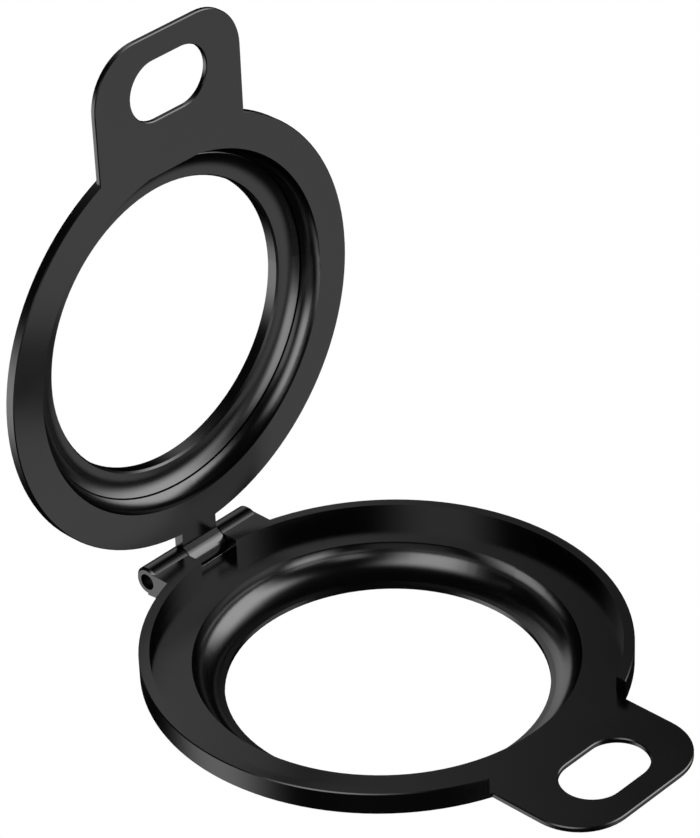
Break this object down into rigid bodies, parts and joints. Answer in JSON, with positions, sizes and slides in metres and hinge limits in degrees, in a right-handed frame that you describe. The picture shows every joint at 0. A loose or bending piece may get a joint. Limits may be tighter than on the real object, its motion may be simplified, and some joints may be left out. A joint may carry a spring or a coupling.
{
  "type": "hinged tracker tag holder",
  "caption": "Hinged two-ring metal holder that closes round a coin-shaped tag, with round windows and slotted tabs for a strap or split ring.",
  "frame": {"origin": "on the axis of the base pocket, in the plane of the ledge and of the tab's inner face", "axes": "+Z out of the base pocket, tabs towards -Y, hinge pin along X on the +Y side"},
  "size_m": [0.0408, 0.0533, 0.0538],
  "materials": {
    "base_black_metal": "satin black anodised",
    "cover_black_metal": "satin black anodised",
    "pin_steel": "blackened steel"
  },
  "bodies": {
    "base": {"base_frame": "base_black_metal", "hinge_pin": "pin_steel"},
    "cover": {"cover_frame": "cover_black_metal"}
  },
  "joints": [
    {"name": "cover_hinge", "type": "hinge", "parent": "base", "child": "cover", "pos_m": [0, 0.02185, 0.0005], "axis": [-1, 0, 0], "range_deg": [-90, 90]}
  ]
}
